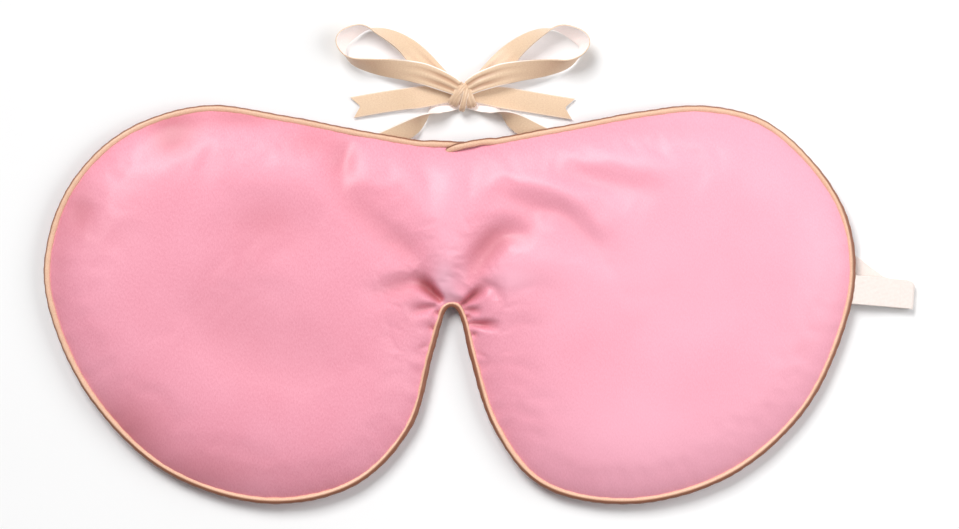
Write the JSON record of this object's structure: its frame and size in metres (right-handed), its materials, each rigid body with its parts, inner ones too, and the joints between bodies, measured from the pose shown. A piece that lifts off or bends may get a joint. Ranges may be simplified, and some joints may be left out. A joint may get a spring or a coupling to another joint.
{
  "type": "sleep eye mask",
  "caption": "Padded satin sleep mask with a piped edge, a nose notch, and an elastic and ribbon head strap tied in a bow.",
  "frame": {"origin": "middle of the padded mask's width and height, on the surface that it lies on, with the strap left out", "axes": "+X towards the wearer's left temple (the picture's right), +Y towards the forehead, +Z out of the front face"},
  "size_m": [0.2371, 0.1301, 0.0119],
  "materials": {
    "satin": "pink satin with a soft sheen",
    "satin_back": "pink satin, as the front",
    "lining": "matt woven blackout cloth",
    "wadding": "soft polyester wadding",
    "piping": "peach satin bias strip",
    "cord": "twisted cotton cord",
    "elastic": "cream ribbed elastic",
    "ribbon": "champagne satin ribbon with a cream reverse"
  },
  "bodies": {
    "mask_right": {"front_panel_right": "satin", "blackout_lining_right": "lining", "wadding_right": "wadding", "back_panel_right": "satin_back", "piping_cover_right": "piping", "piping_cord_right": "cord", "elastic_right_root": "elastic"},
    "mask_left": {"front_panel_left": "satin", "blackout_lining_left": "lining", "wadding_left": "wadding", "back_panel_left": "satin_back", "piping_cover_left": "piping", "piping_cord_left": "cord", "elastic_left_root": "elastic"},
    "strap_right": {"elastic_right": "elastic", "ribbon_leg_right": "ribbon", "bow_knot": "ribbon"},
    "strap_left": {"elastic_left": "elastic", "ribbon_leg_left": "ribbon"},
    "loop_left": {"bow_loop_left": "ribbon"},
    "loop_right": {"bow_loop_right": "ribbon"},
    "tail_left": {"bow_tail_left": "ribbon"},
    "tail_right": {"bow_tail_right": "ribbon"}
  },
  "joints": [
    {"name": "bridge_fold", "type": "hinge", "parent": "mask_right", "child": "mask_left", "pos_m": [0.00078, 0, 0], "axis": [0, 1, 0], "range_deg": [-150, 0]},
    {"name": "strap_swing", "type": "hinge", "parent": "mask_right", "child": "strap_right", "pos_m": [0, 0.00374, 0.0005], "axis": [-1, 0, 0], "range_deg": [0, 170]},
    {"name": "strap_swing_left", "type": "hinge", "parent": "mask_left", "child": "strap_left", "pos_m": [0, 0.00374, 0.0005], "axis": [-1, 0, 0], "range_deg": [0, 170]},
    {"name": "loop_left_lift", "type": "hinge", "parent": "strap_right", "child": "loop_left", "pos_m": [0.00368, 0.05684, 0.0025], "axis": [0.46, 0.8879, 0], "range_deg": [0, 55]},
    {"name": "loop_right_lift", "type": "hinge", "parent": "strap_right", "child": "loop_right", "pos_m": [0.00368, 0.05684, 0.0025], "axis": [0.46, -0.8879, 0], "range_deg": [0, 55]},
    {"name": "tail_left_sweep", "type": "hinge", "parent": "strap_right", "child": "tail_left", "pos_m": [0.00368, 0.05684, 0.0025], "axis": [0, 0, 1], "range_deg": [-10, 5]},
    {"name": "tail_right_sweep", "type": "hinge", "parent": "strap_right", "child": "tail_right", "pos_m": [0.00368, 0.05684, 0.0025], "axis": [0, 0, 1], "range_deg": [-5, 10]}
  ],
  "couplings": [
    {"joint": "strap_swing_left", "follows": "strap_swing", "ratio": 1}
  ]
}
